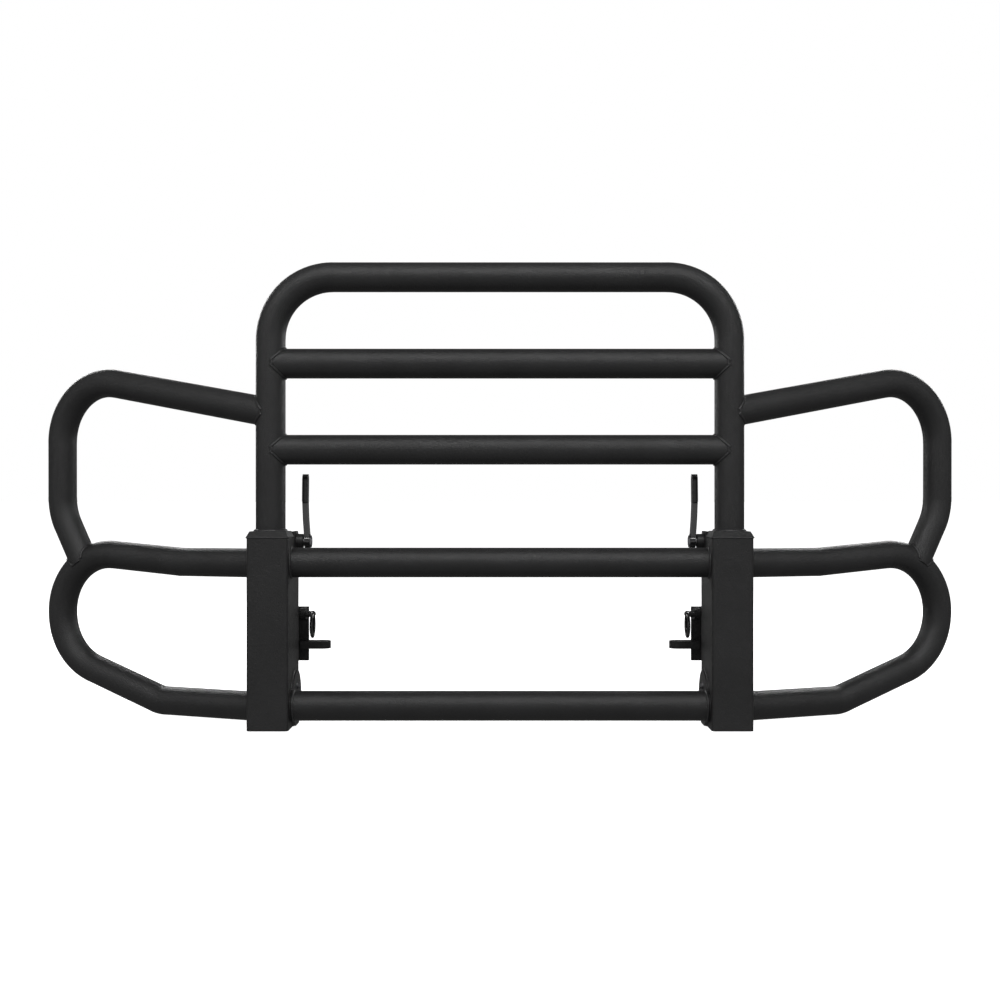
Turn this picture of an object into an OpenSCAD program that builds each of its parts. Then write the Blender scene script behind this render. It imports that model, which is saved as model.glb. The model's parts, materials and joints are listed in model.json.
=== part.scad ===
// Front grille guard for a heavy truck: tubular hoop, bars and side loops on two
// channel uprights, which hinge forward on a pair of truck brackets.
// Millimetres. X is across the truck, Y runs back towards it, Z is up.
// Design dimensions are measured from the lower cross tube's centre line; the
// finished model is shifted so that its origin lies midway between the two
// truck brackets, on their rear bolting faces.

/* [Tubes] */
// Outside diameter of every guard tube
tube_od = 73; // [60:0.5:76]
// Wall thickness of the guard tubes
tube_wall = 3.6; // [2.5:0.1:6]
// Centre-line radius of the full bends
bend_r = 152.4; // [140:0.2:160]
// Centre-line radius of the small-angle bends in the lower side loops
soft_bend_r = 90; // [80:5:160]

/* [Heights above the lower cross tube] */
// Upper cross tube
cross_z = 351.8; // [340:0.2:360]
// Lower grille bar
bar_low_z = 628.6; // [600:0.2:660]
// Upper grille bar
bar_high_z = 839.9; // [800:0.2:860]
// Centre line of the hoop's top
hoop_z = 1052; // [1030:1:1100]

/* [Uprights] */
// Distance from the middle of the guard to the middle of an upright
upright_x = 563; // [550:1:580]
// Width of an upright
upright_w = 101.6; // [98:0.2:110]
// Depth of an upright
upright_d = 179; // [170:1:190]
// Upright's front face ahead of the tubes' centre line
upright_front = 56; // [50:1:60]
// Plate thickness of the upright channel
upright_t = 6.35; // [5:0.05:8]
// Bottom of the upright below the lower cross tube
upright_drop = 54; // [50:1:70]
// Top of the upright's plates above the lower cross tube
upright_top = 414; // [410:1:416]
// Height of the bevelled cap
cap_h = 15; // [12:1:20]

/* [Hinge and latch] */
// Pivot centre behind the tubes' centre line
pivot_y = 60; // [56:1:64]
// Pivot centre above the lower cross tube
pivot_z = 10; // [5:1:12]
// Diameter of the pivot pin
pivot_d = 25; // [20:0.5:26]
// Radius of the round hinge doubler
doubler_r = 70; // [60:1:74]
// Latch shaft centre behind the tubes' centre line
latch_y = 93; // [90:1:96]
// Latch shaft centre above the lower cross tube
latch_z = 401; // [398:1:403]
// Diameter of the latch shaft
latch_d = 20; // [16:0.5:22]
// Angle of the stored, open hook above its closed place
latch_open = 70; // [60:1:75]
// Length of the lever above its shaft
lever_h = 168; // [140:1:180]

/* [Truck brackets] */
// Width of the bolting flange
flange_w = 131; // [120:1:134]
// Height of the bolting flange
flange_h = 140; // [130:1:150]
// Thickness of the bolting flange
flange_t = 12; // [10:0.5:16]
// Front face of the flange behind the tubes' centre line
flange_y = 200; // [196:1:205]
// Bottom of the flange above the lower cross tube
flange_z = 88; // [80:1:95]
// Spacing of the two bolt rows across the flange
bolt_dx = 48; // [46:1:50]
// Bolt spacing up the flange
bolt_dz = 90; // [80:1:100]
// Bolt hole diameter
bolt_hole_d = 18; // [13:0.5:20]

/* [Hidden] */
$fn = 96;

tube_r = tube_od / 2;
gap = 0.05;                 // room left at a coped tube end
seat = 3;                   // how far a straight run reaches into its bend
hair = 0.2;                 // how much thinner it is than the bend, on radius
paint = [0.13, 0.13, 0.135];
dark = [0.07, 0.07, 0.075];
zinc = [0.62, 0.63, 0.65];
bronze = [0.6, 0.46, 0.26];
nylon = [0.06, 0.06, 0.06];
rubber = [0.05, 0.05, 0.05];

// Upright's planes
front_y = -upright_front;
back_y = upright_d - upright_front;
inner_x = upright_x - upright_w / 2;
outer_x = upright_x + upright_w / 2;
plate_bend_r = 10;          // outside radius of the channel's bends
rear_step_y = 40;           // the cap covers the upright from its front to here
rear_top = upright_top + 13;
rear_chamfer = 10;

// The upper loops lie in a vertical plane through the hoop's leg, the lower
// loops in one through the upright's side, both swept back towards the truck.
upper_sweep = atan(0.473);
lower_sweep = 22;
lower_start_y = 62;
upper_path = [[0, 720], [664, 840], [663.5, 473], [572, 310]];
lower_path = [[0, 348], [217, 347], [603.5, 375.5], [583.5, 95], [277.5, -10], [0, -10]];

// Truck bracket
cheek_t = 8;
cheek_gap = 44;             // between the two cheeks
knuckle_r = 24;
bush_wall = 3;
pin_play = 0.05;            // radial running clearance
mount_y = flange_y + flange_t;
mount_z = flange_z + flange_h / 2;
striker_y = latch_y + 33;
striker_z = latch_z - 17;
striker_d = 16;

// Lock pin and its ring
lock_y = 165;
lock_z = 212;
lock_d = 16;
ear_t = 6;
ear_x = inner_x + upright_t;
guide_x0 = inner_x + 3;     // outboard face of the pin guide
guide_len = 16;
pin_tip_x = ear_x - 2;      // tip of the drawn pin, clear of the ear
eye_x = inner_x - 30;
ring_r = 29;
ring_wire = 8;

module place() { translate([0, -mount_y, -mount_z]) children(); }

// side is -1 on the left and 1 on the right
module on_side(side) { if (side < 0) mirror([1, 0, 0]) children(); else children(); }

module along_x(x0, x1, r) { translate([x0, 0, 0]) rotate([0, 90, 0]) cylinder(h = x1 - x0, r = r); }

module at_yz(y, z) { translate([0, y, z]) children(); }

// ---- bent tubes in a plane: u across, v up, the tube's section round each line ----

function unit(a) = a / norm(a);
function turn(p, i) = let (a = unit(p[i] - p[i - 1]), b = unit(p[i + 1] - p[i])) acos(a * b);
function trim(p, r, i) = (i == 0 || i == len(p) - 1) ? 0 : r[i - 1] * tan(turn(p, i) / 2);
function bend_side(p, i) = let (d = unit(p[i] - p[i - 1]), e = unit(p[i + 1] - p[i])) sign(d[0] * e[1] - d[1] * e[0]);
function bend_normal(p, i) = let (d = unit(p[i] - p[i - 1])) bend_side(p, i) * [-d[1], d[0]];
function bend_centre(p, r, i) = p[i] - unit(p[i] - p[i - 1]) * trim(p, r, i) + bend_normal(p, i) * r[i - 1];

module ring_section(ro, ri) { difference() { circle(r = ro); if (ri > 0) circle(r = ri); } }

// Tube of outside radius ro and bore radius ri along points p, with bend radii r. Each
// straight run seats a little way into the bends at its ends and is a hair thinner there.
module bent_tube(p, r, ro, ri) {
    last = len(p) - 1;
    for (i = [0 : last - 1]) {
        d = unit(p[i + 1] - p[i]);
        lead_in = i == 0 ? 0 : seat;
        lead_out = i == last - 1 ? 0 : seat;
        a = p[i] + d * (trim(p, r, i) - lead_in);
        length = norm(p[i + 1] - p[i]) - trim(p, r, i) - trim(p, r, i + 1) + lead_in + lead_out;
        translate([a[0], 0, a[1]]) rotate([0, atan2(d[0], d[1]), 0])
            linear_extrude(height = length) ring_section(ro - hair, ri > 0 ? ri + hair : 0);
    }
    for (i = [1 : last - 1]) {
        normal = bend_normal(p, i);
        c = bend_centre(p, r, i);
        start = atan2(-normal[1], -normal[0]);
        sweep = turn(p, i);
        translate([c[0], 0, c[1]]) rotate([90, 0, 0])
            rotate([0, 0, bend_side(p, i) > 0 ? start : start - sweep])
            rotate_extrude(angle = sweep) translate([r[i - 1], 0]) ring_section(ro, ri);
    }
}

// ---- guard tubes ----

module hoop_run(ro, ri) {
    base = upright_top + cap_h;
    bent_tube([[-upright_x, base], [-upright_x, hoop_z], [upright_x, hoop_z], [upright_x, base]],
        [bend_r, bend_r], ro, ri);
}

module legs_solid(extra) {
    for (s = [-1, 1]) translate([s * upright_x, 0, 0]) cylinder(h = hoop_z, r = tube_r + extra);
}

module hoop() { color(paint) place() hoop_run(tube_r, tube_r - tube_wall); }

module straight_tube(half, z) {
    translate([0, 0, z]) difference() {
        along_x(-half, half, tube_r);
        along_x(-half - 1, half + 1, tube_r - tube_wall);
    }
}

module grille_bar(z) {
    color(paint) place() difference() { straight_tube(upright_x, z); legs_solid(gap); }
}

module cross_tube(z) { color(paint) place() straight_tube(inner_x, z); }

// The inside of the lower loop's top corner bend, where the upper loop's tail is cut away
lower_radii = [soft_bend_r, bend_r, bend_r, soft_bend_r];
lower_corner = bend_centre(lower_path, lower_radii, 2);

module upper_plane() { translate([upright_x, 0, 0]) rotate([0, 0, upper_sweep]) children(); }

module lower_plane() { translate([outer_x, lower_start_y, 0]) rotate([0, 0, lower_sweep]) children(); }

module lower_loop_run(ro, ri, lead) {
    p = lower_path;
    q = [for (i = [0 : len(p) - 1]) (i == 0 || i == len(p) - 1) ? [-lead, p[i][1]] : p[i]];
    bent_tube(q, lower_radii, ro, ri);
}

module lower_loop_envelope(extra) {
    lower_plane() lower_loop_run(tube_r + extra, 0, 0);
}

module upper_side_loop(side) {
    color(paint) place() on_side(side) difference() {
        upper_plane() bent_tube(upper_path, [bend_r, bend_r], tube_r, tube_r - tube_wall);
        legs_solid(gap);
        lower_loop_envelope(gap);
        lower_plane() translate([lower_corner[0], tube_od, lower_corner[1]]) rotate([90, 0, 0])
            cylinder(h = 2 * tube_od, r = bend_r);
    }
}

module lower_side_loop(side) {
    color(paint) place() on_side(side) difference() {
        lower_plane() lower_loop_run(tube_r, tube_r - tube_wall, 20);
        translate([outer_x - 100, -100, -200]) cube([100, 400, 700]);
    }
}

// ---- uprights ----

module channel_section() {
    r = plate_bend_r;
    t = upright_t;
    difference() {
        union() {
            translate([-upright_w / 2 + r, front_y]) square([upright_w - 2 * r, upright_d]);
            translate([-upright_w / 2, front_y + r]) square([upright_w, upright_d - r]);
            for (s = [-1, 1]) translate([s * (upright_w / 2 - r), front_y + r]) circle(r = r);
        }
        translate([-upright_w / 2 + r, front_y + t]) square([upright_w - 2 * r, upright_d]);
        translate([-upright_w / 2 + t, front_y + r]) square([upright_w - 2 * t, upright_d]);
        for (s = [-1, 1]) translate([s * (upright_w / 2 - r), front_y + r]) circle(r = r - t);
    }
}

module upright(side) {
    color(paint) place() on_side(side) difference() {
        translate([upright_x, 0, -upright_drop]) linear_extrude(height = rear_top + upright_drop) channel_section();
        translate([upright_x, 0, 0]) rear_plates_cut();
        at_yz(pivot_y, pivot_z) along_x(inner_x - 1, outer_x + 1, pivot_d / 2 + 0.25);
        at_yz(latch_y, latch_z) along_x(inner_x - 1, outer_x - upright_t - 1, latch_d / 2 + bush_wall);
        at_yz(latch_y, latch_z) along_x(upright_x, outer_x + 1, latch_d / 2 + 0.3);
    }
}

module rear_plates_cut() {
    translate([-upright_w, front_y - 1, upright_top]) cube([2 * upright_w, rear_step_y - front_y + 1, 40]);
    translate([-upright_w, 0, 0]) rotate([90, 0, 90]) linear_extrude(height = 2 * upright_w)
        polygon([[back_y - rear_chamfer - 1, rear_top + 1], [back_y + 1, rear_top + 1],
            [back_y + 1, rear_top - rear_chamfer - 1]]);
}

module upright_cap(side) {
    w = upright_w / 2;
    lip = 2;
    side_bevel = 6;
    front_bevel = 12;
    color(paint) place() on_side(side) translate([upright_x, 0, upright_top]) intersection() {
        translate([0, rear_step_y, 0]) rotate([90, 0, 0]) linear_extrude(height = rear_step_y - front_y)
            polygon([[-w, 0], [w, 0], [w, lip], [w - side_bevel, cap_h], [side_bevel - w, cap_h], [-w, lip]]);
        translate([-w, 0, 0]) rotate([90, 0, 90]) linear_extrude(height = 2 * w)
            polygon([[front_y, 0], [rear_step_y, 0], [rear_step_y, cap_h], [front_y + front_bevel, cap_h],
                [front_y, lip]]);
    }
}

module hinge_doubler(side) {
    color(paint) place() on_side(side) difference() {
        at_yz(pivot_y, pivot_z) along_x(inner_x - ear_t, inner_x, doubler_r);
        at_yz(pivot_y, pivot_z) along_x(inner_x - ear_t - 1, inner_x + 1, pivot_d / 2 + 0.25);
        along_x(inner_x - ear_t - 1, inner_x + 1, tube_r + gap);
        at_yz(pivot_y, pivot_z) translate([0, 0, 32]) along_x(inner_x - ear_t - 1, inner_x + 1, 4.2);
    }
}

module lock_ear(side) {
    w = 38;
    color(paint) place() on_side(side) difference() {
        union() {
            translate([ear_x, 84, lock_z - w / 2]) cube([ear_t, lock_y - 84, w]);
            at_yz(lock_y, lock_z) along_x(ear_x, ear_x + ear_t, w / 2);
        }
        at_yz(lock_y, lock_z) along_x(ear_x - 1, ear_x + ear_t + 1, lock_d / 2 + 0.6);
    }
}

module pivot_pin(side) {
    color(zinc) place() on_side(side) at_yz(pivot_y, pivot_z) {
        along_x(inner_x - ear_t - 8, inner_x - ear_t, 20);
        along_x(inner_x - ear_t, outer_x - 2, pivot_d / 2);
    }
}

module pivot_keeper_bolts() {
    color(zinc) place() for (s = [-1, 1]) on_side(s) at_yz(pivot_y, pivot_z + 32) {
        along_x(inner_x - ear_t, inner_x, 4);
        along_x(inner_x - ear_t - 2, inner_x - ear_t, 9);
        translate([inner_x - ear_t - 7.5, 0, 0]) rotate([0, 90, 0]) cylinder(h = 5.5, r = 7.5, $fn = 6);
    }
}

module latch_bush(side) {
    color(nylon) place() on_side(side) at_yz(latch_y, latch_z) difference() {
        union() {
            along_x(inner_x - 18, inner_x + upright_t, latch_d / 2 + bush_wall);
            along_x(inner_x - 16, inner_x, 19);
        }
        along_x(inner_x - 30, inner_x + 30, latch_d / 2 + pin_play);
    }
}

// ---- truck brackets ----

module cheek_outline() {
    difference() {
        union() {
            polygon([[flange_y, flange_z + 4], [flange_y, flange_z + flange_h - 4], [152, 300], [142, striker_z],
                [110, striker_z], [104, 360], [-18, 360], [-18, 292], [22, 246], [30, 60], [38, pivot_z],
                [pivot_y, pivot_z - 30], [pivot_y + 18, pivot_z - 28]]);
            translate([striker_y, striker_z]) circle(r = 16);
            translate([pivot_y, pivot_z]) circle(r = 34);
        }
        translate([striker_y, striker_z]) circle(d = striker_d);
        translate([pivot_y, pivot_z]) circle(r = knuckle_r - 4);
        translate([92, 190]) circle(r = 34);
    }
}

module cheek(x) {
    translate([x, 0, 0]) rotate([90, 0, 90]) linear_extrude(height = cheek_t) cheek_outline();
}

module bolt_flange() {
    difference() {
        translate([upright_x - flange_w / 2, flange_y, flange_z]) cube([flange_w, flange_t, flange_h]);
        for (row = [0, 1], sz = [-1, 1])
            translate([upright_x + row * bolt_dx, flange_y - 1, mount_z + sz * bolt_dz / 2])
                rotate([-90, 0, 0]) cylinder(h = flange_t + 2, d = bolt_hole_d);
    }
}

module tie_tab() {
    // Flat tab that reaches inboard from the flange, with a hole for a safety chain
    tab_t = 19;
    tab_z = 123;
    end_x = inner_x - 53;
    mid_y = flange_y - 22.5;
    difference() {
        union() {
            translate([end_x, flange_y - 45, tab_z]) cube([54, 45, tab_t]);
            translate([end_x, mid_y, tab_z]) cylinder(h = tab_t, r = 22.5);
        }
        translate([end_x, mid_y, tab_z - 1]) cylinder(h = tab_t + 2, r = 7);
    }
}

module pin_guide() {
    difference() {
        union() {
            at_yz(lock_y, lock_z) along_x(guide_x0 - guide_len, guide_x0, 14);
            translate([guide_x0 - guide_len, lock_y, lock_z - 14]) cube([guide_len, flange_y - lock_y, 28]);
        }
        at_yz(lock_y, lock_z) along_x(guide_x0 - guide_len - 1, guide_x0 + 1, lock_d / 2 + pin_play);
    }
}

module truck_bracket(side) {
    color(paint) place() on_side(side) difference() {
        union() {
            bolt_flange();
            cheek(upright_x - cheek_gap / 2 - cheek_t);
            cheek(upright_x + cheek_gap / 2);
            translate([upright_x - cheek_gap / 2 - cheek_t, -26, 296]) cube([cheek_gap + 2 * cheek_t, 8, 60]);
            tie_tab();
            pin_guide();
            at_yz(pivot_y, pivot_z)
                along_x(upright_x - cheek_gap / 2 - cheek_t - 6, upright_x + cheek_gap / 2 + cheek_t + 6, knuckle_r);
        }
        at_yz(pivot_y, pivot_z) along_x(inner_x, outer_x, pivot_d / 2 + bush_wall);
        translate([upright_x, -30, 326]) rotate([-90, 0, 0]) cylinder(h = 20, r = 5.2);
    }
}

module pivot_bushes() {
    half = cheek_gap / 2 + cheek_t + 6;
    color(bronze) place() for (s = [-1, 1]) on_side(s) at_yz(pivot_y, pivot_z) difference() {
        union() {
            along_x(upright_x - half, upright_x + half, pivot_d / 2 + bush_wall);
            along_x(upright_x - half - 2, upright_x - half, knuckle_r - 3);
            along_x(upright_x + half, upright_x + half + 2, knuckle_r - 3);
        }
        along_x(inner_x, outer_x, pivot_d / 2 + pin_play);
    }
}

module striker_bar(side) {
    half = cheek_gap / 2 + cheek_t;
    color(zinc) place() on_side(side) at_yz(striker_y, striker_z) {
        along_x(upright_x - half - 2, upright_x + half + 2, striker_d / 2);
        along_x(upright_x - half - 7, upright_x - half - 2, 11);
        along_x(upright_x + half + 2, upright_x + half + 7, 11);
    }
}

module bump_stop(side) {
    color(rubber) place() on_side(side) translate([upright_x, -26, 326]) difference() {
        rotate([90, 0, 0]) cylinder(h = upright_front - upright_t - 26 - 0.4, r1 = 20, r2 = 17);
        translate([0, 1, 0]) rotate([90, 0, 0]) cylinder(h = 13, r = 5);
    }
}

module bump_stop_screws() {
    color(zinc) place() for (s = [-1, 1]) on_side(s) translate([upright_x, 0, 326]) {
        translate([0, -38, 0]) rotate([-90, 0, 0]) cylinder(h = 26, r = 5);
        translate([0, -18, 0]) rotate([-90, 0, 0]) cylinder(h = 6, r = 8.5, $fn = 6);
    }
}

// ---- latch ----

module latch_shaft(side) {
    color(zinc) place() on_side(side) at_yz(latch_y, latch_z) difference() {
        along_x(inner_x - 38, outer_x + 9, latch_d / 2);
        translate([outer_x + 3, 0, 0]) rotate([0, 90, 0]) difference() {
            cylinder(h = 1.6, r = latch_d);
            translate([0, 0, -1]) cylinder(h = 4, r = latch_d / 2 - 1.2);
        }
    }
}

module latch_hook(side) {
    // Drawn closed, then swung up to its stored, open place
    t = 12;
    color(dark) place() on_side(side) at_yz(latch_y, latch_z) rotate([latch_open, 0, 0])
        translate([upright_x - t / 2, 0, 0]) rotate([90, 0, 90]) linear_extrude(height = t) difference() {
            union() {
                circle(r = 20);
                polygon([[0, -6], [46, -6], [49, -32], [60, -32], [64, -6], [62, 12], [10, 17]]);
            }
            circle(r = latch_d / 2);
        }
}

// The lever is a bent flat bar: its side view is a row of points up its inner face
lever_line = [[0, 0], [1.5, 17], [4.2, 55], [6, 105], [5.7, 140]];
lever_t = 13;
lever_w = 30;

module lever_profile() {
    top = lever_h - lever_w / 2;
    right = [for (i = [len(lever_line) - 1 : -1 : 0]) lever_line[i] + [lever_t, 0]];
    polygon(concat(lever_line, [[5, top + lever_w / 2], [5 + lever_t, top + lever_w / 2]], right));
}

module latch_lever(side) {
    foot_x = inner_x - 34;
    color(dark) place() on_side(side) at_yz(latch_y, latch_z) difference() {
        union() {
            intersection() {
                translate([foot_x, lever_w / 2, 0]) rotate([90, 0, 0]) linear_extrude(height = lever_w) lever_profile();
                union() {
                    translate([foot_x - 1, -lever_w / 2, 0]) cube([lever_t + 12, lever_w, lever_h - lever_w / 2]);
                    at_yz(0, lever_h - lever_w / 2) along_x(foot_x - 1, foot_x + lever_t + 12, lever_w / 2);
                }
            }
            along_x(foot_x, foot_x + lever_t, 19);
        }
        along_x(foot_x - 1, foot_x + lever_t + 1, latch_d / 2);
    }
}

module latch_nut(side) {
    color(zinc) place() on_side(side) at_yz(latch_y, latch_z) translate([inner_x - 37.5, 0, 0]) rotate([0, 90, 0])
        difference() {
            cylinder(h = 3, r = 15, $fn = 6);
            translate([0, 0, -1]) cylinder(h = 5, r = latch_d / 2);
        }
}

module latch_circlip(side) {
    color(zinc) place() on_side(side) at_yz(latch_y, latch_z) translate([outer_x + 3, 0, 0]) rotate([0, 90, 0])
        difference() {
            cylinder(h = 1.6, r = latch_d / 2 + 3);
            translate([0, 0, -1]) cylinder(h = 4, r = latch_d / 2 - 1.2);
            translate([0, -3, -1]) cube([latch_d, 6, 4]);
        }
}

// ---- lock pin ----

module lock_pin(side) {
    eye_half = 4;
    color(dark) place() on_side(side) at_yz(lock_y, lock_z) difference() {
        union() {
            along_x(eye_x + 7, pin_tip_x, lock_d / 2);
            translate([eye_x, eye_half, 0]) rotate([90, 0, 0]) cylinder(h = 2 * eye_half, r = lock_d / 2);
            translate([eye_x, -eye_half, -lock_d / 2 + 1]) cube([8, 2 * eye_half, lock_d - 2]);
        }
        translate([eye_x, 10, 0]) rotate([90, 0, 0]) cylinder(h = 20, r = ring_wire / 2 + 0.7);
    }
}

module pull_ring(side) {
    color(dark) place() on_side(side) translate([eye_x, lock_y, lock_z - ring_r])
        rotate([0, 90, 0]) rotate_extrude() translate([ring_r, 0]) circle(r = ring_wire / 2);
}

hoop();
grille_bar(bar_high_z);  // grille_bar_upper
grille_bar(bar_low_z);  // grille_bar_lower
cross_tube(cross_z);  // cross_tube_upper
cross_tube(0);  // cross_tube_lower
upper_side_loop(-1);  // upper_side_loop_left
upper_side_loop(1);  // upper_side_loop_right
lower_side_loop(-1);  // lower_side_loop_left
lower_side_loop(1);  // lower_side_loop_right
upright(-1);  // upright_left
upright(1);  // upright_right
upright_cap(-1);  // upright_cap_left
upright_cap(1);  // upright_cap_right
hinge_doubler(-1);  // hinge_doubler_left
hinge_doubler(1);  // hinge_doubler_right
lock_ear(-1);  // lock_ear_left
lock_ear(1);  // lock_ear_right
pivot_pin(-1);  // pivot_pin_left
pivot_pin(1);  // pivot_pin_right
pivot_keeper_bolts();
latch_bush(-1);  // latch_bush_left
latch_bush(1);  // latch_bush_right
truck_bracket(-1);  // truck_bracket_left
truck_bracket(1);  // truck_bracket_right
pivot_bushes();
striker_bar(-1);  // striker_bar_left
striker_bar(1);  // striker_bar_right
bump_stop(-1);  // bump_stop_left
bump_stop(1);  // bump_stop_right
bump_stop_screws();
latch_shaft(-1);  // latch_shaft_left
latch_shaft(1);  // latch_shaft_right
latch_hook(-1);  // latch_hook_left
latch_hook(1);  // latch_hook_right
latch_lever(-1);  // latch_lever_left
latch_lever(1);  // latch_lever_right
latch_nut(-1);  // latch_nut_left
latch_nut(1);  // latch_nut_right
latch_circlip(-1);  // latch_circlip_left
latch_circlip(1);  // latch_circlip_right
lock_pin(-1);  // lock_pin_left
lock_pin(1);  // lock_pin_right
pull_ring(-1);  // pull_ring_left
pull_ring(1);  // pull_ring_right
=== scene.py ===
"""Front grille guard: studio scene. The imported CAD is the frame; this script adds the weld
beads and small fittings, and gives every surface its finish. Metres throughout."""
import json
import math

import bmesh
import bpy
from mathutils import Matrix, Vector
from mathutils.bvhtree import BVHTree


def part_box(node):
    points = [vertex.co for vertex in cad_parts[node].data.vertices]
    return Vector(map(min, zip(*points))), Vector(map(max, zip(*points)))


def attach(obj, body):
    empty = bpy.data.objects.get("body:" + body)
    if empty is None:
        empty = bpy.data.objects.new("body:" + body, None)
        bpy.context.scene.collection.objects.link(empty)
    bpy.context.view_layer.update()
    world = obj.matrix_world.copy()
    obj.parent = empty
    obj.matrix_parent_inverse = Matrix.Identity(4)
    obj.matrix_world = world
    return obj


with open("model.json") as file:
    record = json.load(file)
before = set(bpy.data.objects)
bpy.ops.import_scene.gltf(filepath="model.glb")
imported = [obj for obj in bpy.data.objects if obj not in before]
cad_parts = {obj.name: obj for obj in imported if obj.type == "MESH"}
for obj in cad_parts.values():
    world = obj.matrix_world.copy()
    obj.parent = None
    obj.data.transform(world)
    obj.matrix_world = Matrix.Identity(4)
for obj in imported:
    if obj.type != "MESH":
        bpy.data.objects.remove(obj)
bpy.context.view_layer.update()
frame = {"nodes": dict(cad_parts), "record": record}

# ---- places, from part.scad: design millimetres to the row's frame in metres ----
MOUNT_Y, MOUNT_Z = 212.0, 158.0


def place(x, y, z):
    return Vector((x, y - MOUNT_Y, z - MOUNT_Z)) / 1000.0


TUBE_MM = 36.5                    # tube radius
TUBE_R = TUBE_MM / 1000
UPRIGHT_X = 563.0
HALF_W = 50.8
INNER_X = UPRIGHT_X - HALF_W
OUTER_X = UPRIGHT_X + HALF_W
UPPER_SWEEP = math.atan(0.473)
LOWER_SWEEP = math.radians(22.0)
LOWER_START_Y = 62.0
BAR_LEVELS = ((839.9, "upper"), (628.6, "lower"))
UPPER_CROSS_Z = 351.8
LOWER_LOOP_LEVELS = ((348, "top"), (-10, "bottom"))
CAP_Z = 414.0
LEG_WELD_Z = 429.5
HINGE_Y, HINGE_Z = 60, 10
LATCH_Z = 401
AROUND = 72                       # points round a tube
SIDES = ((-1, "left"), (1, "right"))


# ---- materials ----
def new_material(name):
    mat = bpy.data.materials.new(name)
    mat.use_nodes = True
    tree = mat.node_tree
    return mat, tree, tree.nodes["Principled BSDF"]


def node(tree, kind, **inputs):
    made = tree.nodes.new(kind)
    for key, value in inputs.items():
        made.inputs[key.replace("_", " ")].default_value = value
    return made


def noise(tree, scale, detail=3.0, rough=0.55):
    coord = tree.nodes.new("ShaderNodeTexCoord")
    made = node(tree, "ShaderNodeTexNoise", Scale=scale, Detail=detail, Roughness=rough)
    tree.links.new(coord.outputs["Object"], made.inputs["Vector"])
    return made


def ramp(tree, source, low, high, start=0.3, end=0.7):
    made = tree.nodes.new("ShaderNodeMapRange")
    made.inputs["From Min"].default_value = start
    made.inputs["From Max"].default_value = end
    made.inputs["To Min"].default_value = low
    made.inputs["To Max"].default_value = high
    tree.links.new(source, made.inputs["Value"])
    return made.outputs["Result"]


def colours(tree, source, low, high, start=0.3, end=0.7):
    made = tree.nodes.new("ShaderNodeValToRGB")
    made.color_ramp.elements[0].position = start
    made.color_ramp.elements[0].color = (*low, 1)
    made.color_ramp.elements[1].position = end
    made.color_ramp.elements[1].color = (*high, 1)
    tree.links.new(source, made.inputs["Fac"])
    return made.outputs["Color"]


def bumps(tree, shader, layers):
    last = None
    for source, strength, distance in layers:
        made = node(tree, "ShaderNodeBump", Strength=strength, Distance=distance)
        tree.links.new(source, made.inputs["Height"])
        if last:
            tree.links.new(last.outputs["Normal"], made.inputs["Normal"])
        last = made
    tree.links.new(last.outputs["Normal"], shader.inputs["Normal"])


def powder_coat():
    mat, tree, shader = new_material("powder_coat_black")
    cloud = noise(tree, 9.0, 4.0)
    peel = noise(tree, 330.0, 3.0, 0.65)
    grit = noise(tree, 950.0, 2.0, 0.7)
    tone = colours(tree, cloud.outputs["Fac"],
                   (0.0125, 0.0125, 0.0128), (0.0175, 0.0175, 0.018))
    tree.links.new(tone, shader.inputs["Base Color"])
    tree.links.new(ramp(tree, peel.outputs["Fac"], 0.27, 0.42), shader.inputs["Roughness"])
    shader.inputs["Specular IOR Level"].default_value = 0.36
    bumps(tree, shader, [(peel.outputs["Fac"], 0.55, 0.0026),
                         (grit.outputs["Fac"], 0.4, 0.0007)])
    return mat


def weld_coat_painted_shade():
    mat, tree, shader = new_material("weld_powder_coat_painted_shade")
    grain = noise(tree, 900.0, 3.0)
    # darker than the frame coat's 0.0125-0.0175: painted shade for the creases where the tubes meet
    tone = colours(tree, grain.outputs["Fac"],
                   (0.009, 0.009, 0.0095), (0.015, 0.015, 0.0155))
    tree.links.new(tone, shader.inputs["Base Color"])
    tree.links.new(ramp(tree, grain.outputs["Fac"], 0.34, 0.5), shader.inputs["Roughness"])
    bumps(tree, shader, [(grain.outputs["Fac"], 0.3, 0.0004)])
    return mat


def gloss_black():
    mat, tree, shader = new_material("gloss_black_enamel")
    cloud = noise(tree, 40.0, 3.0)
    scuff = noise(tree, 700.0, 4.0, 0.7)
    tone = colours(tree, cloud.outputs["Fac"], (0.008, 0.008, 0.009), (0.014, 0.014, 0.015))
    tree.links.new(tone, shader.inputs["Base Color"])
    tree.links.new(ramp(tree, scuff.outputs["Fac"], 0.14, 0.3), shader.inputs["Roughness"])
    shader.inputs["Coat Weight"].default_value = 0.4
    shader.inputs["Coat Roughness"].default_value = 0.1
    bumps(tree, shader, [(cloud.outputs["Fac"], 0.12, 0.0008),
                         (scuff.outputs["Fac"], 0.05, 0.0002)])
    return mat


def metal(name, low, high, rough, scale):
    mat, tree, shader = new_material(name)
    cloud = noise(tree, scale, 5.0, 0.6)
    fine = noise(tree, 1500.0, 2.0)
    tone = colours(tree, cloud.outputs["Fac"], low, high)
    tree.links.new(tone, shader.inputs["Base Color"])
    shader.inputs["Metallic"].default_value = 1.0
    tree.links.new(ramp(tree, cloud.outputs["Fac"], rough, rough + 0.16), shader.inputs["Roughness"])
    bumps(tree, shader, [(fine.outputs["Fac"], 0.1, 0.0002)])
    return mat


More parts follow.
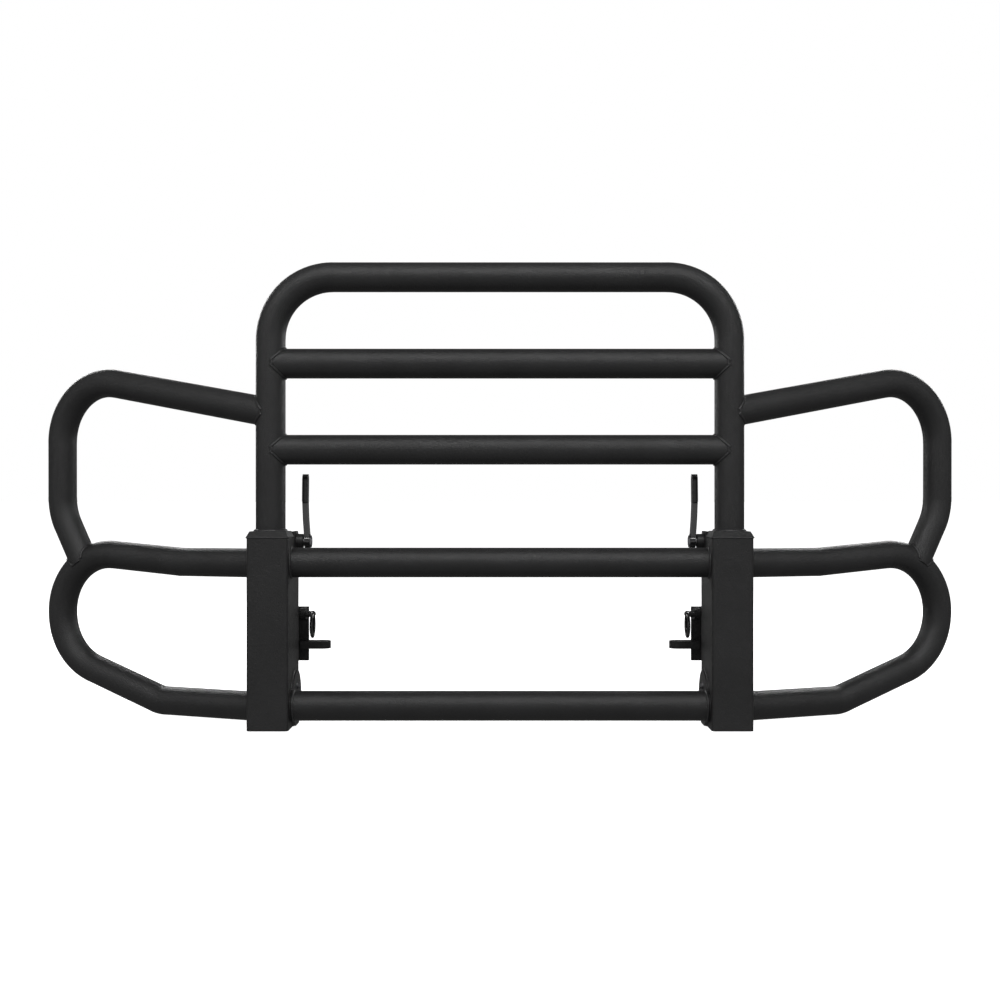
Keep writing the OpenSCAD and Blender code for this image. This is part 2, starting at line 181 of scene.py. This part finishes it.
def soft_black(name, low, high, rough):
    mat, tree, shader = new_material(name)
    grain = noise(tree, 1300.0, 3.0)
    cloud = noise(tree, 30.0, 3.0)
    tone = colours(tree, cloud.outputs["Fac"], low, high)
    tree.links.new(tone, shader.inputs["Base Color"])
    tree.links.new(ramp(tree, grain.outputs["Fac"], rough, rough + 0.15), shader.inputs["Roughness"])
    bumps(tree, shader, [(grain.outputs["Fac"], 0.3, 0.0003)])
    return mat


POWDER = powder_coat()
WELD_PAINTED_SHADE = weld_coat_painted_shade()
GLOSS = gloss_black()
ZINC = metal("dark_zinc_plating", (0.16, 0.16, 0.17), (0.27, 0.27, 0.28), 0.3, 60.0)
BRONZE = metal("oiled_bronze", (0.34, 0.22, 0.10), (0.46, 0.31, 0.16), 0.34, 90.0)
RUBBER = soft_black("bump_stop_rubber", (0.012, 0.012, 0.012), (0.022, 0.022, 0.022), 0.62)
NYLON = soft_black("black_nylon", (0.010, 0.010, 0.0105), (0.015, 0.015, 0.0155), 0.38)
VINYL = soft_black("dipped_vinyl_grip", (0.006, 0.006, 0.006), (0.010, 0.010, 0.010), 0.30)
FINISH = {"black_powder_coat": POWDER, "gloss_black": GLOSS, "dark_zinc": ZINC,
          "bush_bronze": BRONZE, "black_rubber": RUBBER, "black_nylon": NYLON}

for part in frame["record"]["subparts"]:
    obj = frame["nodes"][part["node"]]
    obj.data.materials.clear()
    obj.data.materials.append(FINISH[part["material_slot"]])


# ---- pieces ----
def finish_piece(obj, body, material):
    obj.data.materials.append(material)
    for face in obj.data.polygons:
        face.use_smooth = True
    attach(obj, body)
    return obj


def mesh_object(name, bm):
    mesh = bpy.data.meshes.new(name)
    bm.to_mesh(mesh)
    bm.free()
    obj = bpy.data.objects.new(name, mesh)
    bpy.context.scene.collection.objects.link(obj)
    return obj


def resample(points, closed, step):
    """Even steps along a polyline."""
    ring = list(points) + ([points[0]] if closed else [])
    lengths = [(b - a).length for a, b in zip(ring, ring[1:])]
    total = sum(lengths)
    count = max(8, int(total / step))
    out, i, run = [], 0, 0.0
    for k in range(count if closed else count + 1):
        want = total * k / count
        while i < len(lengths) - 1 and run + lengths[i] < want:
            run += lengths[i]
            i += 1
        t = 0.0 if lengths[i] == 0 else min(1.0, (want - run) / lengths[i])
        out.append(ring[i].lerp(ring[i + 1], t))
    return out


BEAD_R = 0.0032
RIPPLE = 0.0048                   # length of one scale of a weld bead
PER_RIPPLE = 6                    # rings along one scale
SECTION = 10                      # points round a bead
END_TAPER = 0.45


def bead(name, points, closed=True, radius=BEAD_R):
    """A weld bead along a line: a round run with the overlapping scales of a welder's torch."""
    line = resample(points, closed, RIPPLE / PER_RIPPLE)
    n = len(line)
    bm = bmesh.new()
    rings = []
    up = None
    for i, p in enumerate(line):
        ahead = line[(i + 1) % n] if closed else line[min(i + 1, n - 1)]
        behind = line[i - 1] if closed or i else line[0]
        along = (ahead - behind).normalized()
        if up is None:
            up = along.orthogonal().normalized()
        up = (up - along * up.dot(along)).normalized()
        side = along.cross(up)
        phase = (i % PER_RIPPLE) / PER_RIPPLE
        swell = 1.0 + 0.11 * math.sqrt(max(0.0, 1 - phase)) - 0.05 * math.sin(i * 0.37)
        r = radius * swell
        if not closed and (i == 0 or i == n - 1):
            r *= END_TAPER
        rings.append([bm.verts.new(p + (up * math.cos(a) + side * math.sin(a)) * r)
                      for a in (2 * math.pi * k / SECTION for k in range(SECTION))])
    last = n if closed else n - 1
    for i in range(last):
        a, b = rings[i], rings[(i + 1) % n]
        shift = 0
        if closed and i == n - 1:
            # the frame has turned a little on its way round: join to the nearest corner
            shift = min(range(SECTION), key=lambda s: (a[0].co - b[s].co).length)
        for k in range(SECTION):
            k2 = (k + 1) % SECTION
            bm.faces.new((a[k], a[k2], b[(k2 + shift) % SECTION], b[(k + shift) % SECTION]))
    if not closed:
        bm.faces.new(list(reversed(rings[0])))
        bm.faces.new(rings[-1])
    bmesh.ops.recalc_face_normals(bm, faces=bm.faces)
    # the beads take the darker coat: painted shade along each joint's crease
    return finish_piece(mesh_object(name, bm), "guard", WELD_PAINTED_SHADE)


def tree_of(name):
    bm = bmesh.new()
    bm.from_mesh(frame["nodes"][name].data)
    tree = BVHTree.FromBMesh(bm)
    bm.free()
    return tree


def saddle(start, direction, target):
    """Where a round tube from start along direction meets another node's surface."""
    direction = direction.normalized()
    a = direction.orthogonal().normalized()
    b = direction.cross(a)
    found = []
    for k in range(AROUND):
        angle = 2 * math.pi * k / AROUND
        off = (a * math.cos(angle) + b * math.sin(angle)) * TUBE_R
        hit, *_ = target.ray_cast(start + off * 0.998, direction)
        if hit is None:
            hit, *_ = target.ray_cast(start + off * 0.97, direction)
        if hit is not None:
            found.append(hit)
    return found


def circle_x(x, y, z, r, count=AROUND, keep=lambda y, z: True):
    """A circle round the X axis, in design millimetres."""
    out = []
    for k in range(count):
        angle = 2 * math.pi * k / count
        py, pz = y + r * math.cos(angle), z + r * math.sin(angle)
        if keep(py, pz):
            out.append(place(x, py, pz))
    return out


hoop_tree = tree_of("hoop")
for z, level in BAR_LEVELS:
    for s, side in SIDES:
        ring = saddle(place(0, 0, z), Vector((s, 0, 0)), hoop_tree)
        bead(f"weld_bar_{level}_{side}", ring)

for s, side in SIDES:
    upright_tree = tree_of(f"upright_{side}")
    ring = saddle(place(0, 0, UPPER_CROSS_Z), Vector((s, 0, 0)), upright_tree)
    bead(f"weld_cross_upper_{side}", ring)
    # the lower cross tube ends on the hinge doubler, 6 mm inboard of the upright
    ring = circle_x(s * (INNER_X - 6), 0, 0, TUBE_MM)
    bead(f"weld_cross_lower_{side}", ring)

    leg = [place(s * UPRIGHT_X + TUBE_MM * math.cos(a), TUBE_MM * math.sin(a), LEG_WELD_Z)
           for a in (2 * math.pi * k / AROUND for k in range(AROUND))]
    bead(f"weld_leg_{side}", leg, radius=0.0045)

    # upper loop on the hoop's leg
    way = Vector((664.0 * math.cos(UPPER_SWEEP) * s,
                  664.0 * math.sin(UPPER_SWEEP), 120.0)).normalized()
    root = place(s * UPRIGHT_X, 0, 720)
    ring = saddle(root + way * 0.2, -way, hoop_tree)
    bead(f"weld_upper_loop_leg_{side}", ring)

    # its tail on the lower loop
    def on_upper(u, v):
        return place(s * (UPRIGHT_X + u * math.cos(UPPER_SWEEP)),
                     u * math.sin(UPPER_SWEEP), v)
    top, tail = on_upper(663.5, 473), on_upper(572, 310)
    way = (tail - top).normalized()
    ring = saddle(top + way * 0.05, way, tree_of(f"lower_side_loop_{side}"))
    bead(f"weld_loop_tail_{side}", ring)

    # lower loop on the upright's side
    for z, level in LOWER_LOOP_LEVELS:
        ring = []
        for k in range(AROUND):
            a = 2 * math.pi * k / AROUND
            along = LOWER_START_Y + TUBE_MM / math.cos(LOWER_SWEEP) * math.cos(a)
            ring.append(place(s * OUTER_X, along, z + TUBE_MM * math.sin(a)))
        bead(f"weld_lower_loop_{level}_{side}", ring)

    # cap seam round the upright's top
    w, f, r = HALF_W, -56.0, 0.0016
    seam = [(-w, 40), (-w, f + 3), (-w + 3, f), (w - 3, f), (w, f + 3), (w, 40)]
    line = [place(s * (UPRIGHT_X + x), y, CAP_Z) for x, y in seam]
    bead(f"weld_cap_{side}", line, closed=False, radius=r)

    # hinge doubler's rim, outside the cross tube
    rim = circle_x(s * INNER_X, HINGE_Y, HINGE_Z, 70, 120,
                   lambda y, z: math.hypot(y, z) > 40 and y < 122)
    start = max(range(len(rim)), key=lambda i: (rim[i] - rim[i - 1]).length)
    rim = rim[start:] + rim[:start]
    bead(f"weld_doubler_{side}", rim, closed=False, radius=0.0026)


# ---- lever grips ----
def lever_grip(s, side):
    """Dipped sleeve over the top of the lever, following its flat section."""
    lo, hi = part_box(f"latch_lever_{side}")
    skin = 0.0012
    bottom, top = place(0, 0, LATCH_Z + 96).z, hi[2] + skin
    y_mid = (lo[1] + hi[1]) / 2
    foot = INNER_X - 34
    bm = bmesh.new()
    rings = []
    steps, corners = 22, 28
    for i in range(steps + 1):
        t = i / steps
        z = bottom + (top - bottom) * t
        up = (z - place(0, 0, LATCH_Z).z) * 1000
        inner = 4.2 + (up - 55) * (1.8 / 50) if up < 105 else 6.0 - (up - 105) * 0.011
        cx = s * (foot + inner + 6.5) / 1000
        half_x = 0.0065 + skin
        arc_r = 0.015 + skin
        centre = top - arc_r
        half_y = arc_r if z < centre else math.sqrt(max(1e-9, arc_r ** 2 - (z - centre) ** 2))
        lip = min(1.0, 0.4 + 8.0 * t) if i < 2 else 1.0
        ring = []
        for k in range(corners):
            a = 2 * math.pi * k / corners
            ca, sa = math.cos(a), math.sin(a)
            px = math.copysign(abs(ca) ** 0.45, ca) * (half_x * (0.9 + 0.1 * lip))
            py = math.copysign(abs(sa) ** 0.45, sa) * max(half_y, 0.0005)
            ring.append(bm.verts.new((cx + px, y_mid + py, z)))
        rings.append(ring)
    for a, b in zip(rings, rings[1:]):
        for k in range(corners):
            bm.faces.new((a[k], a[(k + 1) % corners], b[(k + 1) % corners], b[k]))
    bm.faces.new(list(reversed(rings[0])))
    bm.faces.new(rings[-1])
    bmesh.ops.recalc_face_normals(bm, faces=bm.faces)
    return finish_piece(mesh_object(f"lever_grip_{side}", bm), f"latch_{side}",
                        VINYL)


for s, side in SIDES:
    lever_grip(s, side)


# ---- studio ----
def area_light(name, location, target, size, size_y, power):
    data = bpy.data.lights.new(name, "AREA")
    data.shape = "RECTANGLE"
    data.size, data.size_y, data.energy = size, size_y, power
    obj = bpy.data.objects.new(name, data)
    obj.location = location
    obj.rotation_euler = (Vector(target) - Vector(location)).to_track_quat("-Z", "Y").to_euler()
    bpy.context.scene.collection.objects.link(obj)


FLOOR_Z = place(0, 0, -54).z - 0.001
bpy.ops.mesh.primitive_plane_add(size=400, location=(0, 150, FLOOR_Z))
floor = bpy.context.active_object
floor.name = "studio_floor"
mat, tree, shader = new_material("studio_white")
speck = noise(tree, 3.0)
tree.links.new(colours(tree, speck.outputs["Fac"], (0.93, 0.93, 0.93), (0.95, 0.95, 0.95)),
               shader.inputs["Base Color"])
shader.inputs["Roughness"].default_value = 0.9
shader.inputs["Specular IOR Level"].default_value = 0.1
shader.inputs["Emission Color"].default_value = (1, 1, 1, 1)
shader.inputs["Emission Strength"].default_value = 0.95
floor.data.materials.append(mat)
floor.visible_diffuse = False
floor.visible_glossy = False

world = bpy.data.worlds.new("studio")
bpy.context.scene.world = world
world.use_nodes = True
wt = world.node_tree
wt.nodes.clear()
out = wt.nodes.new("ShaderNodeOutputWorld")
mix = wt.nodes.new("ShaderNodeMixShader")
lit = wt.nodes.new("ShaderNodeBackground")
seen = wt.nodes.new("ShaderNodeBackground")
seen.inputs["Color"].default_value = (1, 1, 1, 1)
seen.inputs["Strength"].default_value = 1.0
coord = wt.nodes.new("ShaderNodeTexCoord")
split = wt.nodes.new("ShaderNodeSeparateXYZ")
wt.links.new(coord.outputs["Generated"], split.inputs["Vector"])
high = ramp(wt, split.outputs["Z"], 0.36, 0.44, -0.3, 0.9)
behind = ramp(wt, split.outputs["Y"], 1.0, 0.42, -0.1, 0.6)
sky = wt.nodes.new("ShaderNodeMath")
sky.operation = "MULTIPLY"
wt.links.new(high, sky.inputs[0])
wt.links.new(behind, sky.inputs[1])
wt.links.new(sky.outputs[0], lit.inputs["Strength"])
path = wt.nodes.new("ShaderNodeLightPath")
wt.links.new(path.outputs["Is Camera Ray"], mix.inputs["Fac"])
wt.links.new(lit.outputs[0], mix.inputs[1])
wt.links.new(seen.outputs[0], mix.inputs[2])
wt.links.new(mix.outputs[0], out.inputs["Surface"])

area_light("key_top", (0, -3.4, 4.1), (0, 0, 0.3), 6.0, 0.5, 175)
area_light("fill_front", (0, -4.6, 0.5), (0, 0, 0.35), 3.0, 1.6, 10)
for s, side in SIDES:
    area_light(f"back_{side}", (s * 2.6, 3.6, 1.8), (0, 0, 0.3), 1.6, 1.2, 38)
for s, side in SIDES:
    area_light(f"fill_{side}", (s * 3.4, -2.2, 1.4), (0, 0, 0.3), 0.9, 2.0, 12)

camera_data = bpy.data.cameras.new("camera")
camera_data.lens = 50.0
camera_data.sensor_width = 36.0
camera = bpy.data.objects.new("camera", camera_data)
camera.location = place(0, -3410, 505.2)
camera.rotation_euler = (math.radians(90), 0, 0)
bpy.context.scene.collection.objects.link(camera)
bpy.context.scene.camera = camera
bpy.context.scene.view_settings.view_transform = "Standard"
